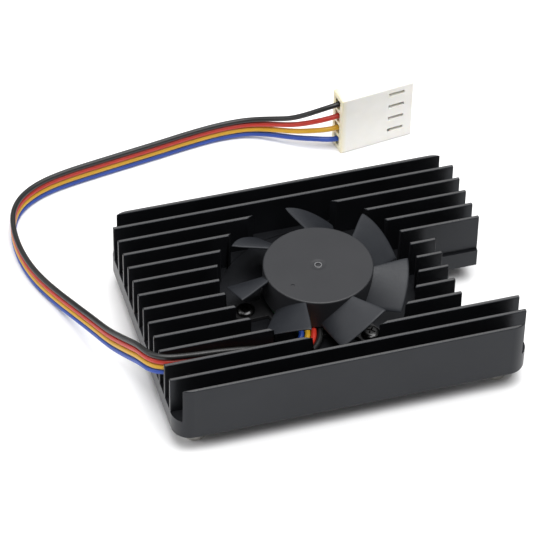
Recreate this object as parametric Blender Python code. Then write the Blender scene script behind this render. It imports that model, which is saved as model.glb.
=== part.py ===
"""Finned heatsink with a sunken fan, for a 55 x 40 mm compute-module board.

Units are metres, +Z is up and +X runs along the fins towards the antenna notch. The four standoffs
stand on z = 0, and the heatsink's plan centre is the origin.
"""

import math

import bmesh
import bpy
from mathutils import Matrix, Vector

MM = 0.001
GAP = 0.1 * MM                      # left between pieces that touch

# Heatsink block
LENGTH = 56.0 * MM
WIDTH = 41.0 * MM
CORNER_R = 3.0 * MM
FIN_COUNT = 14
FIN_T = 0.6 * MM
STANDOFF_H = 3.2 * MM
BASE_TOP = 6.5 * MM
FIN_TOP = 13.1 * MM
FIN_PITCH = (WIDTH - FIN_T) / (FIN_COUNT - 1)
POCKET_R = 15.4 * MM
POCKET_FLOOR = 6.4 * MM
FAN_X = 0.25 * MM
FAN_Y = 0.2 * MM
NOTCH_X = 19.8 * MM                 # where the fins stop at the notch
NOTCH_LEDGE = 0.45 * MM             # how far the base stands proud of the fins there
NOTCH_FRONT_FIN = 12                # fins are counted from the back, 1 to 14
NOTCH_BACK_FIN = 6

# Standoffs, on the 48 x 33 mm hole pattern of the board
STANDOFF_X = (-24.0 * MM, 24.0 * MM)
STANDOFF_Y = (-16.5 * MM, 16.5 * MM)
STANDOFF_R = 1.75 * MM
SHANK_R = 1.4 * MM
STANDOFF_BORE_R = 1.05 * MM
SHANK_TOP = 6.1 * MM
PAD_SIDE = 15.0 * MM
PAD_CENTRE = (-4.0 * MM, 1.0 * MM)
PAD_Z = (2.2 * MM, 3.1 * MM)

# Fan, from its base plate up to the hub
EAR_ANGLES = (-177.5, -62.5, 60.0)
EAR_R = 11.7 * MM
EAR_HALF = 1.9 * MM
PLATE_R = 8.8 * MM
PLATE_Z = (6.5 * MM, 7.1 * MM)
TUBE_R = 2.0 * MM
TUBE_BORE_R = 1.3 * MM
TUBE_TOP = 11.8 * MM
BOARD_R = 7.9 * MM
BOARD_Z = (7.2 * MM, 7.7 * MM)
HUB_R = 8.55 * MM
HUB_TOP = 13.65 * MM
HUB_RIM = 8.5 * MM
HUB_BORE_R = 7.95 * MM
HUB_ROOF = 0.7 * MM
SHAFT_R = 0.5 * MM
BLADE_COUNT = 7
BLADE_TIP_R = 14.0 * MM
BLADE_T = 0.5 * MM
BLADE_PHASE = 94.7                  # degrees, leading tip of the first blade
BLADE_SWEEP = 8.7                   # degrees, the leading edge's lean from root to tip
BLADE_BOW = 1.6                     # over 1 hollows the leading edge
BLADE_SPAN = (36.0, 32.0)           # degrees of arc, at the root and at the tip
BLADE_TOP = (13.3 * MM, 13.35 * MM)
BLADE_DROP = (4.2 * MM, 4.3 * MM)
BLADE_CAMBER = 1.5

# Lead and its connector
WIRE_D = 0.88 * MM
WIRE_NAMES = ("wire_blue", "wire_yellow", "wire_red", "wire_black")
WIRE_SAMPLES = 130
HOUSING = (13.05 * MM, 3.7 * MM, 11.3 * MM)
HOUSING_CORNER = (16.34 * MM, 38.61 * MM)
HOUSING_TURN = 7.83
CONTACT_PITCH = 2.54 * MM
CAVITY = (1.7 * MM, 1.9 * MM)

# The lead's middle line, millimetres: x, y, z, roll of the ribbon in degrees, spacing of its wires.
# Roll 0 lays the four wires side by side, and 90 stacks them with the blue one lowest.
LEAD_ROUTE = (
    (-3.2, -7.6, 7.85, 0, 1.0),
    (-3.25, -8.4, 7.80, 0, 1.0),
    (-3.8, -9.6, 7.65, 0, 1.0),
    (-4.9, -10.5, 7.52, 4, 1.0),
    (-6.5, -11.25, 7.55, 12, 1.0),
    (-8.0, -11.75, 8.10, 40, 1.0),
    (-9.3, -12.25, 8.85, 80, 1.0),
    (-10.3, -12.43, 9.15, 90, 0.96),
    (-14.5, -12.43, 10.00, 90, 0.95),
    (-18.5, -12.43, 10.60, 90, 0.95),
    (-23.0, -12.43, 11.00, 90, 0.95),
    (-26.2, -12.43, 11.35, 90, 0.97),
    (-28.0, -12.1, 11.40, 90, 1.0),
    (-29.1, -11.2, 11.20, 90, 1.05),
    (-29.8, -9.7, 10.80, 90, 1.06),
    (-30.3, -7.6, 10.00, 90, 1.06),
    (-31.4, -4.0, 8.15, 90, 1.04),
    (-32.8, 0.7, 5.95, 90, 1.0),
    (-34.3, 6.0, 4.25, 90, 0.97),
    (-36.05, 10.9, 3.10, 90, 0.95),
    (-37.95, 15.9, 2.15, 90, 0.95),
    (-39.8, 20.7, 1.92, 90, 0.95),
    (-40.9, 25.6, 1.92, 90, 0.95),
    (-41.1, 30.6, 1.92, 90, 0.95),
    (-40.3, 35.2, 1.92, 90, 0.95),
    (-38.2, 38.6, 1.92, 90, 0.95),
    (-34.6, 41.1, 1.92, 90, 0.95),
    (-29.6, 42.7, 1.92, 90, 0.95),
    (-21.6, 44.2, 1.92, 90, 0.95),
    (-14.1, 45.5, 1.92, 90, 0.95),
    (-7.5, 46.7, 1.92, 90, 0.95),
    (-2.3, 47.3, 1.98, 90, 0.95),
    (2.3, 46.9, 2.30, 90, 0.98),
    (6.0, 45.2, 2.90, 90, 1.12),
    (9.4, 42.9, 3.75, 90, 1.38),
    (12.4, 41.15, 4.90, 90, 1.85),
    (14.75, 40.38, 5.55, 90, 2.38),
    (17.06, 40.6, 5.65, 90, 2.54),
)


def clear_scene():
    for obj in list(bpy.data.objects):
        bpy.data.objects.remove(obj, do_unlink=True)


def material(name, colour, roughness, metallic=0.0):
    mat = bpy.data.materials.get(name) or bpy.data.materials.new(name)
    mat.use_nodes = True
    shader = mat.node_tree.nodes["Principled BSDF"]
    shader.inputs["Base Color"].default_value = (*colour, 1.0)
    shader.inputs["Roughness"].default_value = roughness
    shader.inputs["Metallic"].default_value = metallic
    return mat


def make_object(name, bm, mat, smooth=True):
    """A new object from a bmesh, with its normals turned outwards."""
    bmesh.ops.recalc_face_normals(bm, faces=bm.faces)
    mesh = bpy.data.meshes.new(name)
    bm.to_mesh(mesh)
    bm.free()
    if smooth:
        mesh.shade_smooth()
        mesh.set_sharp_from_angle(angle=math.radians(35))
    obj = bpy.data.objects.new(name, mesh)
    bpy.context.collection.objects.link(obj)
    if mat:
        mesh.materials.append(mat)
    return obj


def make_cutter(name, bm):
    cutter = make_object(name, bm, None, smooth=False)
    cutter.hide_render = True
    cutter.display_type = "WIRE"
    return cutter


def combine(obj, other, operation):
    modifier = obj.modifiers.new(operation.title(), "BOOLEAN")
    modifier.operation = operation
    modifier.object = other


def add_prism(bm, outline, low, high):
    """Adds the solid over a closed plan outline, between two heights."""
    face = bm.faces.new([bm.verts.new((x, y, low)) for x, y in outline])
    raised = bmesh.ops.extrude_face_region(bm, geom=[face])
    lift = Vector((0, 0, high - low))
    bmesh.ops.translate(bm, verts=[v for v in raised["geom"] if isinstance(v, bmesh.types.BMVert)], vec=lift)


def prism(outline, low, high):
    bm = bmesh.new()
    add_prism(bm, outline, low, high)
    return bm


def add_box(bm, low, high):
    size = [h - l for l, h in zip(low, high)]
    centre = [(h + l) / 2 for l, h in zip(low, high)]
    bmesh.ops.create_cube(bm, size=1.0, matrix=Matrix.Translation(centre) @ Matrix.Diagonal((*size, 1)))


def circle(radius, steps, x=0.0, y=0.0):
    turns = [2 * math.pi * i / steps for i in range(steps)]
    return [(x + radius * math.cos(a), y + radius * math.sin(a)) for a in turns]


def turned(profile, steps):
    """Spins a profile of (radius, height) points round Z. A profile that starts and ends on the
    axis is left open there, and any other is closed."""
    bm = bmesh.new()
    verts = [bm.verts.new((r, 0, z)) for r, z in profile]
    ends = list(zip(verts, verts[1:]))
    if profile[0][0] > 0 or profile[-1][0] > 0:
        ends.append((verts[-1], verts[0]))
    edges = [bm.edges.new(pair) for pair in ends]
    bmesh.ops.spin(
        bm, geom=verts + edges, cent=(0, 0, 0), axis=(0, 0, 1), angle=2 * math.pi, steps=steps, use_merge=True
    )
    bmesh.ops.remove_doubles(bm, verts=bm.verts, dist=1e-7)
    return bm


def ring(name, inner, outer, low, high, mat, steps=32):
    """A plain turned ring on the fan's axis."""
    obj = make_object(name, turned([(inner, low), (outer, low), (outer, high), (inner, high)], steps), mat)
    obj.location = (FAN_X, FAN_Y, 0)
    return obj


def fin_y(number):
    """Middle of a fin, counted from the back."""
    return WIDTH / 2 - FIN_T / 2 - (number - 1) * FIN_PITCH


def block_outline():
    """Plan outline of the base: round corners, and the antenna notch in the +X edge."""
    half_x = LENGTH / 2
    half_y = WIDTH / 2
    corner_steps = 6
    points = []
    for quadrant, (sx, sy) in enumerate(((1, 1), (-1, 1), (-1, -1), (1, -1))):
        for i in range(corner_steps + 1):
            angle = math.pi / 2 * (quadrant + i / corner_steps)
            x = sx * (half_x - CORNER_R) + CORNER_R * math.cos(angle)
            points.append((x, sy * (half_y - CORNER_R) + CORNER_R * math.sin(angle)))
    notch_back = fin_y(NOTCH_BACK_FIN) - FIN_T / 2 - NOTCH_LEDGE
    notch_front = fin_y(NOTCH_FRONT_FIN) + FIN_T / 2 + NOTCH_LEDGE
    notch_x = NOTCH_X + NOTCH_LEDGE
    return points + [(half_x, notch_front), (notch_x, notch_front), (notch_x, notch_back), (half_x, notch_back)]


def fin_comb():
    """The extruded section: a base with its fins, wider and longer than the finished block."""
    spare = 0.5 * MM
    edge = WIDTH / 2 + spare
    section = [(edge, STANDOFF_H), (edge, FIN_TOP)]
    for number in range(1, FIN_COUNT):
        near = fin_y(number) - FIN_T / 2
        far = fin_y(number + 1) + FIN_T / 2
        section += [(near, FIN_TOP), (near, BASE_TOP), (far, BASE_TOP), (far, FIN_TOP)]
    section += [(-edge, FIN_TOP), (-edge, STANDOFF_H)]
    bm = bmesh.new()
    start = -LENGTH / 2 - spare
    face = bm.faces.new([bm.verts.new((start, y, z)) for y, z in section])
    pushed = bmesh.ops.extrude_face_region(bm, geom=[face])
    moved = [v for v in pushed["geom"] if isinstance(v, bmesh.types.BMVert)]
    bmesh.ops.translate(bm, verts=moved, vec=(LENGTH + 2 * spare, 0, 0))
    return bm


def screw_places():
    turns = [math.radians(a) for a in EAR_ANGLES]
    return [(FAN_X + EAR_R * math.cos(a), FAN_Y + EAR_R * math.sin(a)) for a in turns]


def make_heatsink(mat):
    block = make_object("heatsink", fin_comb(), mat)
    above = FIN_TOP + 1 * MM
    below = STANDOFF_H - 1 * MM
    combine(block, make_cutter("cut_outline", prism(block_outline(), below, above)), "INTERSECT")
    pocket = prism(circle(POCKET_R, 96, FAN_X, FAN_Y), POCKET_FLOOR, above)
    combine(block, make_cutter("cut_pocket", pocket), "DIFFERENCE")
    fins = bmesh.new()
    back = fin_y(NOTCH_BACK_FIN) - FIN_T / 2 - 0.1 * MM
    front = fin_y(NOTCH_FRONT_FIN) + FIN_T / 2 + 0.1 * MM
    add_box(fins, (NOTCH_X, front, POCKET_FLOOR), (LENGTH / 2 + 1 * MM, back, above))
    combine(block, make_cutter("cut_notch_fins", fins), "DIFFERENCE")
    holes = bmesh.new()
    for x in STANDOFF_X:
        for y in STANDOFF_Y:
            add_prism(holes, circle(SHANK_R + 0.05 * MM, 32, x, y), below, BASE_TOP + 0.05 * MM)
    for x, y in screw_places():
        add_prism(holes, circle(0.9 * MM, 16, x, y), 4.2 * MM, BASE_TOP)
    combine(block, make_cutter("cut_holes", holes), "DIFFERENCE")


def make_standoffs(mat):
    flange_top = STANDOFF_H - GAP
    profile = [
        (STANDOFF_BORE_R, 0),
        (STANDOFF_R, 0),
        (STANDOFF_R, flange_top),
        (SHANK_R, flange_top),
        (SHANK_R, SHANK_TOP),
        (STANDOFF_BORE_R, SHANK_TOP),
    ]
    for x, side in zip(STANDOFF_X, ("left", "right")):
        for y, end in zip(STANDOFF_Y, ("front", "back")):
            obj = make_object(f"standoff_{end}_{side}", turned(profile, 32), mat)
            obj.location = (x, y, 0)


def make_thermal_pad(mat):
    half = PAD_SIDE / 2
    x, y = PAD_CENTRE
    bm = bmesh.new()
    add_box(bm, (x - half, y - half, PAD_Z[0]), (x + half, y + half, PAD_Z[1]))
    make_object("thermal_pad", bm, mat, smooth=False)


def slot_outline(length, half, steps=8):
    """A bar from the origin along +X, with a round end of radius half centred at length."""
    turns = [math.radians(-90 + 180 * i / steps) for i in range(steps + 1)]
    return [(0, -half)] + [(length + half * math.cos(a), half * math.sin(a)) for a in turns] + [(0, half)]


def make_fan_base(mat):
    low, high = PLATE_Z
    plate = make_object("fan_base", prism(circle(PLATE_R, 48), low, high), mat)
    plate.location = (FAN_X, FAN_Y, 0)
    for number, angle in enumerate(EAR_ANGLES):
        ear = make_cutter(f"add_ear_{number}", prism(slot_outline(EAR_R, EAR_HALF), low, high))
        ear.location = (FAN_X, FAN_Y, 0)
        ear.rotation_euler = (0, 0, math.radians(angle))
        combine(plate, ear, "UNION")
    tube = make_cutter("add_tube", prism(circle(TUBE_R, 32, FAN_X, FAN_Y), low, TUBE_TOP))
    combine(plate, tube, "UNION")
    holes = bmesh.new()
    add_prism(holes, circle(TUBE_BORE_R, 32, FAN_X, FAN_Y), low + 0.3 * MM, TUBE_TOP + 1 * MM)
    for x, y in screw_places():
        add_prism(holes, circle(1.0 * MM, 16, x, y), low - 1 * MM, high + 1 * MM)
    combine(plate, make_cutter("cut_plate_holes", holes), "DIFFERENCE")


def make_screws(mat):
    """Pan-head cross-recess screws through the fan's ears."""
    seat = PLATE_Z[1] + 0.05 * MM
    profile = [(0, 4.5 * MM), (0.6 * MM, 4.5 * MM), (0.8 * MM, 4.8 * MM), (0.8 * MM, seat), (1.45 * MM, seat)]
    profile += [(1.45 * MM, seat + 0.35 * MM), (1.15 * MM, seat + 0.7 * MM), (0, seat + 0.8 * MM)]
    for number, (x, y) in enumerate(screw_places(), 1):
        screw = make_object(f"fan_screw_{number}", turned(profile, 24), mat)
        screw.location = (x, y, 0)
        for arm, (ax, ay) in enumerate(((0.8, 0.17), (0.17, 0.8))):
            recess = bmesh.new()
            add_box(recess, (-ax * MM, -ay * MM, seat + 0.3 * MM), (ax * MM, ay * MM, seat + 1.5 * MM))
            cutter = make_cutter(f"cut_recess_{number}_{arm}", recess)
            cutter.location = (x, y, 0)
            cutter.rotation_euler = (0, 0, math.radians(25 * number))
            combine(screw, cutter, "DIFFERENCE")


def blade_point(across, along, side):
    """A point of the first blade: across runs from root to tip, along from its leading to its
    trailing edge, and side is 1 on top and -1 underneath."""
    root_r = HUB_R - 0.2 * MM
    radius = root_r + (BLADE_TIP_R - root_r) * across
    mix = [a + (b - a) * across for a, b in (BLADE_SPAN, BLADE_TOP, BLADE_DROP)]
    lean = BLADE_SWEEP * (1 - across) ** BLADE_BOW
    angle = math.radians(BLADE_PHASE - lean - mix[0] * along)
    half = BLADE_T / 2 * (1 - 0.35 * across)
    height = mix[1] - mix[2] * along**BLADE_CAMBER + side * half
    return (radius * math.cos(angle), radius * math.sin(angle), height)


def blade_set(rows, columns):
    """All the blades as closed solids that don't touch each other."""
    bm = bmesh.new()
    for number in range(BLADE_COUNT):
        turn = Matrix.Rotation(2 * math.pi * number / BLADE_COUNT, 4, "Z")
        grid = {}
        for side in (-1, 1):
            for i in range(rows + 1):
                for j in range(columns + 1):
                    point = Vector(blade_point(i / rows, j / columns, side))
                    grid[side, i, j] = bm.verts.new(turn @ point)
        for i in range(rows):
            for j in range(columns):
                square = ((i, j), (i + 1, j), (i + 1, j + 1), (i, j + 1))
                bm.faces.new([grid[1, a, b] for a, b in square])
                bm.faces.new([grid[-1, a, b] for a, b in reversed(square)])
        border = [(i, 0) for i in range(rows)] + [(rows, j) for j in range(columns)]
        border += [(i, columns) for i in range(rows, 0, -1)] + [(0, j) for j in range(columns, 0, -1)]
        for here, there in zip(border, border[1:] + border[:1]):
            bm.faces.new([grid[1, *here], grid[-1, *here], grid[-1, *there], grid[1, *there]])
    return bm


def make_rotor(plastic, steel, magnet, bronze):
    boss = 1.3 * MM
    roof = HUB_TOP - HUB_ROOF
    bore = SHAFT_R + 0.03 * MM
    dimple = 0.5 * MM
    profile = [(0, HUB_TOP - 0.2 * MM), (dimple, HUB_TOP - 0.2 * MM), (dimple, HUB_TOP)]
    profile += [(HUB_R - 0.25 * MM, HUB_TOP), (HUB_R, HUB_TOP - 0.25 * MM), (HUB_R, HUB_RIM)]
    profile += [(HUB_BORE_R, HUB_RIM), (HUB_BORE_R, roof), (boss, roof), (boss, roof - 0.8 * MM)]
    profile += [(bore, roof - 0.8 * MM), (bore, roof + 0.2 * MM), (0, roof + 0.2 * MM)]
    impeller = make_object("impeller", turned(profile, 64), plastic)
    impeller.location = (FAN_X, FAN_Y, 0)
    blades = make_cutter("add_blades", blade_set(4, 6))
    blades.location = impeller.location
    combine(impeller, blades, "UNION")
    ring("yoke_ring", 7.45 * MM, HUB_BORE_R - 0.05 * MM, 8.7 * MM, 12.85 * MM, steel, 48)
    ring("magnet_ring", 6.75 * MM, 7.4 * MM, 8.8 * MM, 12.6 * MM, magnet, 48)
    tip = [(0, 7.25 * MM), (0.3 * MM, 7.3 * MM), (SHAFT_R, 7.5 * MM), (SHAFT_R, roof + 0.1 * MM)]
    shaft = make_object("shaft", turned(tip + [(0, roof + 0.1 * MM)], 32), steel)
    shaft.location = (FAN_X, FAN_Y, 0)
    ring("retaining_clip", SHAFT_R + 0.03 * MM, 1.0 * MM, 7.65 * MM, 7.8 * MM, bronze, 24)


def make_bearing(bronze, polymer, felt):
    bore = SHAFT_R + 0.05 * MM
    outer = TUBE_BORE_R - 0.04 * MM
    ring("sleeve_bearing", bore, outer, 7.9 * MM, 11.3 * MM, bronze)
    ring("oil_seal", bore, outer, 11.35 * MM, 11.65 * MM, felt)
    pad = turned([(0, 6.9 * MM), (1.1 * MM, 6.9 * MM), (1.1 * MM, 7.15 * MM), (0, 7.15 * MM)], 24)
    make_object("thrust_pad", pad, polymer).location = (FAN_X, FAN_Y, 0)


def star_outline(core, arm_half, arm_end, shoe=None, shoe_half=38.0):
    """Four arms round a core. Each arm may carry a pole shoe: its inner and outer radius."""
    points = []
    lean = math.asin(arm_half / core)
    for pole in range(4):
        middle = math.radians(45 + 90 * pole)

        def polar(radius, angle):
            points.append((radius * math.cos(middle + angle), radius * math.sin(middle + angle)))

        polar(core, -lean)
        if shoe:
            inner, outer = shoe
            spread = math.radians(shoe_half)
            polar(inner, -math.asin(arm_half / inner))
            polar(inner, -spread)
            for i in range(9):
                polar(outer, spread * (i / 4 - 1))
            polar(inner, spread)
            polar(inner, math.asin(arm_half / inner))
        else:
            end = math.asin(arm_half / arm_end)
            polar(arm_end, -end)
            polar(arm_end, end)
        polar(core, lean)
        for i in range(1, 4):
            polar(core, lean + (math.pi / 2 - 2 * lean) * i / 4)
    return points


def make_stator(steel, polymer, copper):
    pieces = {
        "stator_core": (star_outline(3.0 * MM, 0.75 * MM, 5.4 * MM, (5.4 * MM, 6.35 * MM)), 9.9, 11.3, steel),
        "insulator_top": (star_outline(3.3 * MM, 0.95 * MM, 5.3 * MM), 11.4, 11.7, polymer),
        "insulator_bottom": (star_outline(3.3 * MM, 0.95 * MM, 5.3 * MM), 9.5, 9.8, polymer),
    }
    for name, (outline, low, high, mat) in pieces.items():
        piece = make_object(name, prism(outline, low * MM, high * MM), mat)
        piece.location = (FAN_X, FAN_Y, 0)
        bore = make_cutter("cut_" + name, prism(circle(TUBE_R + GAP, 32, FAN_X, FAN_Y), 9 * MM, 12 * MM))
        combine(piece, bore, "DIFFERENCE")
    for pole in range(4):
        coil = make_object(f"coil_{pole + 1}", coil_winding(), copper, smooth=False)
        coil.location = (FAN_X, FAN_Y, 0)
        coil.rotation_euler = (0, 0, math.radians(45 + 90 * pole))


def coil_winding():
    """A square tube of wire round one stator arm, which runs along +X."""
    start, end = 3.6 * MM, 4.85 * MM
    inner = (1.05 * MM, 9.4 * MM, 11.8 * MM)
    outer = (1.6 * MM, 8.85 * MM, 12.35 * MM)
    bm = bmesh.new()
    rings = []
    for x in (start, end):
        for half, low, high in (outer, inner):
            corners = ((-half, low), (half, low), (half, high), (-half, high))
            rings.append([bm.verts.new((x, y, z)) for y, z in corners])
    for first, second in ((0, 1), (1, 3), (3, 2), (2, 0)):
        for i in range(4):
            j = (i + 1) % 4
            bm.faces.new((rings[first][i], rings[first][j], rings[second][j], rings[second][i]))
    return bm


def make_board(board, chip, ceramic):
    """The fan's circuit board, with a tab for the lead, and the parts on it."""
    low, high = BOARD_Z
    disc = make_object("fan_board", prism(circle(BOARD_R, 48), low, high), board)
    disc.location = (FAN_X, FAN_Y, 0)
    tab = bmesh.new()
    add_box(tab, (-5.2 * MM, -7.2 * MM, low), (-1.2 * MM, -4.0 * MM, high))
    combine(disc, make_cutter("add_tab", tab), "UNION")
    hole = prism(circle(TUBE_R + GAP, 32, FAN_X, FAN_Y), low - 1 * MM, high + 1 * MM)
    combine(disc, make_cutter("cut_board", hole), "DIFFERENCE")
    seat = high + 0.05 * MM
    parts = (
        ("hall_sensor", 5.4, 0, (1.0, 1.4, 0.6), chip),
        ("driver_chip", 4.9, 180, (1.5, 1.5, 0.6), chip),
        ("capacitor", 5.2, 90, (0.6, 1.0, 0.5), ceramic),
        ("resistor", 6.4, 132, (0.5, 0.9, 0.35), chip),
    )
    for name, radius, angle, size, mat in parts:
        bm = bmesh.new()
        half = [s / 2 * MM for s in size]
        x = radius * MM
        add_box(bm, (x - half[0], -half[1], seat), (x + half[0], half[1], seat + 2 * half[2]))
        bmesh.ops.bevel(bm, geom=bm.edges, offset=0.05 * MM, segments=1, affect="EDGES")
        piece = make_object(name, bm, mat, smooth=False)
        piece.location = (FAN_X, FAN_Y, 0)
        piece.rotation_euler = (0, 0, math.radians(angle))


def contact_height(number):
    return HOUSING[2] / 2 + (number - 1.5) * CONTACT_PITCH


def make_connector(nylon, tin):
    """The lead's housing, which lies on its narrow side, and its four crimped contacts."""
    length, depth, height = HOUSING
    pose = bpy.data.objects.new("connector_pose", None)
    bpy.context.collection.objects.link(pose)
    pose.location = (*HOUSING_CORNER, 0)
    pose.rotation_euler = (0, 0, math.radians(HOUSING_TURN))
    body = bmesh.new()
    add_box(body, (0, 0, 0), (length, depth, height))
    bmesh.ops.bevel(body, geom=body.edges, offset=0.15 * MM, segments=1, affect="EDGES")
    housing = make_object("connector_housing", body, nylon)
    housing.parent = pose
    cavities = bmesh.new()
    windows = bmesh.new()
    middle = depth / 2
    for number in range(4):
        z = contact_height(number)
        half_y, half_z = CAVITY[0] / 2, CAVITY[1] / 2
        add_box(cavities, (-1 * MM, middle - half_y, z - half_z), (length + 1 * MM, middle + half_y, z + half_z))
        slot = z + 0.5 * MM
        add_box(windows, (8.7 * MM, -1 * MM, slot - 0.33 * MM), (11.4 * MM, middle, slot + 0.33 * MM))
    for name, bm in (("cut_cavities", cavities), ("cut_windows", windows)):
        cutter = make_cutter(name, bm)
        cutter.parent = pose
        combine(housing, cutter, "DIFFERENCE")
    for number in range(4):
        contact = make_object(f"contact_{number + 1}", contact_solid(), tin, smooth=False)
        contact.parent = pose
        contact.location = (0, middle, contact_height(number))


def contact_solid():
    """Square sections along +X: crimp barrel, neck, then the box with its open socket."""
    sections = ((1.2, 0.5, 0.55), (4.2, 0.5, 0.55), (4.5, 0.3, 0.3), (5.3, 0.3, 0.3), (5.6, 0.65, 0.7))
    sections += ((11.8, 0.65, 0.7), (11.8, 0.4, 0.45), (7.0, 0.4, 0.45))
    bm = bmesh.new()
    rows = []
    for x, half_y, half_z in sections:
        corners = ((-half_y, -half_z), (half_y, -half_z), (half_y, half_z), (-half_y, half_z))
        rows.append([bm.verts.new((x * MM, y * MM, z * MM)) for y, z in corners])
    for first, second in zip(rows, rows[1:]):
        for i in range(4):
            j = (i + 1) % 4
            bm.faces.new((first[i], first[j], second[j], second[i]))
    bm.faces.new(rows[0])
    bm.faces.new(rows[-1])
    return bm


def spline(rows, samples):
    """Evenly spaced values along a smooth curve through the rows, and the curve's direction."""
    padded = [rows[0]] + list(rows) + [rows[-1]]
    fine = []
    for before, start, end, after in zip(padded, padded[1:], padded[2:], padded[3:]):
        for step in range(16):
            t = step / 16
            value = []
            for a, b, c, d in zip(before, start, end, after):
                bend = (2 * a - 5 * b + 4 * c - d) * t * t + (3 * b - a - 3 * c + d) * t**3
                value.append(0.5 * (2 * b + (c - a) * t + bend))
            fine.append(value)
    fine.append(list(rows[-1]))
    reach = [0.0]
    for here, there in zip(fine, fine[1:]):
        reach.append(reach[-1] + math.dist(here[:3], there[:3]))
    found = []
    place = 0
    for index in range(samples):
        want = reach[-1] * index / (samples - 1)
        while place < len(reach) - 2 and reach[place + 1] < want:
            place += 1
        part = (want - reach[place]) / (reach[place + 1] - reach[place])
        value = [a + (b - a) * part for a, b in zip(fine[place], fine[place + 1])]
        ahead = Vector(fine[place + 1][:3]) - Vector(fine[place][:3])
        found.append((value, ahead.normalized()))
    return found


def wire_points(number, samples):
    """The middle line of one wire of the ribbon, 0 for blue to 3 for black."""
    points = []
    for (x, y, z, roll, spacing), ahead in spline(LEAD_ROUTE, samples):
        left = Vector((-ahead.y, ahead.x, 0)).normalized()
        lean = math.radians(roll)
        across = left * math.cos(lean) + ahead.cross(left) * math.sin(lean)
        points.append((Vector((x, y, z)) + across * (number - 1.5) * spacing) * MM)
    return points


def make_wires(colours):
    for number, name in enumerate(WIRE_NAMES):
        curve = bpy.data.curves.new(name, "CURVE")
        curve.dimensions = "3D"
        curve.bevel_depth = WIRE_D / 2
        curve.bevel_resolution = 2
        curve.use_fill_caps = True
        points = wire_points(number, WIRE_SAMPLES)
        line = curve.splines.new("POLY")
        line.points.add(len(points) - 1)
        for knot, point in zip(line.points, points):
            knot.co = (*point, 1)
        curve.materials.append(colours[number])
        bpy.context.collection.objects.link(bpy.data.objects.new(name, curve))


def build():
    clear_scene()
    anodised = material("black_anodised", (0.022, 0.023, 0.025), 0.42, 0.6)
    nickel = material("nickel", (0.62, 0.6, 0.57), 0.28, 1.0)
    plastic = material("fan_plastic", (0.052, 0.057, 0.066), 0.5)
    steel = material("steel", (0.5, 0.5, 0.5), 0.3, 1.0)
    black_steel = material("black_steel", (0.03, 0.03, 0.03), 0.25, 0.8)
    bronze = material("bronze", (0.55, 0.4, 0.2), 0.4, 1.0)
    make_heatsink(anodised)
    make_standoffs(nickel)
    make_thermal_pad(material("thermal_pad", (0.4, 0.5, 0.6), 0.8))
    make_fan_base(plastic)
    make_screws(black_steel)
    make_rotor(plastic, steel, material("magnet", (0.08, 0.07, 0.06), 0.7), bronze)
    make_bearing(bronze, material("polymer", (0.8, 0.8, 0.75), 0.4), material("felt", (0.3, 0.3, 0.28), 0.9))
    insulator = material("insulator", (0.75, 0.72, 0.62), 0.5)
    make_stator(steel, insulator, material("copper", (0.6, 0.25, 0.1), 0.3, 1.0))
    chip = material("chip", (0.02, 0.02, 0.02), 0.5)
    make_board(material("board", (0.03, 0.2, 0.08), 0.4), chip, material("ceramic", (0.5, 0.38, 0.25), 0.5))
    make_connector(material("nylon", (0.82, 0.8, 0.72), 0.4), material("tin", (0.7, 0.7, 0.68), 0.3, 1.0))
    blue = material("pvc_blue", (0.03, 0.08, 0.45), 0.35)
    yellow = material("pvc_yellow", (0.85, 0.45, 0.03), 0.35)
    red = material("pvc_red", (0.6, 0.03, 0.02), 0.35)
    black = material("pvc_black", (0.01, 0.01, 0.01), 0.35)
    make_wires((blue, yellow, red, black))


build()
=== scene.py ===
import math

import bmesh
import bpy
from mathutils import Matrix, Vector


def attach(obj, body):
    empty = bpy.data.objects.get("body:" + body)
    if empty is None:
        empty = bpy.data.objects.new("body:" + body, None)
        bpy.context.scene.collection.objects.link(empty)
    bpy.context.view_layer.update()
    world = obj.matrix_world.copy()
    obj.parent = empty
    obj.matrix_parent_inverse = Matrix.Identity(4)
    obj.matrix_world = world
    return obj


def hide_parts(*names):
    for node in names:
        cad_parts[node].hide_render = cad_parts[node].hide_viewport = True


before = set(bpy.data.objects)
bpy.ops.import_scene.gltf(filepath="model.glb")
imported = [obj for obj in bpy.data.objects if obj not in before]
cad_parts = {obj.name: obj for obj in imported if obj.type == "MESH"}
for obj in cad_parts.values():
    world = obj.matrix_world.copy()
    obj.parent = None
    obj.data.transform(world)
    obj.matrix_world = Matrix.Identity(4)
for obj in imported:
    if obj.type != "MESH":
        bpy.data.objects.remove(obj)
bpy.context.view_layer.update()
MM = 0.001

# Heatsink block, millimetres
LENGTH, WIDTH, CORNER_R = 56.0, 41.0, 3.0
FIN_T, FIN_COUNT = 0.6, 14
BASE_LOW, BASE_TOP, FIN_TOP = 3.2, 6.5, 13.1
FIN_PITCH = (WIDTH - FIN_T) / (FIN_COUNT - 1)
FAN = (0.25, 0.2)
POCKET_R, POCKET_FLOOR = 15.4, 6.4
NOTCH_X, NOTCH_LEDGE, NOTCH_FINS = 19.8, 0.45, (6, 12)
FIN_EDGE_R = 0.13
STANDOFFS = (
    (-24.0, -16.5, "front_left"), (24.0, -16.5, "front_right"),
    (-24.0, 16.5, "back_left"), (24.0, 16.5, "back_right"),
)
STANDOFF_R, SHANK_R, SHANK_TOP = 1.75, 1.4, 6.1
STANDOFF_BORE_R, THREAD_R, THREAD_PITCH = 1.2, (0.96, 1.05), 0.45
PAD_CORNER, PAD_SIDE, PAD_Z = (-11.5, -6.5), 15.0, (2.2, 3.1)

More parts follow.
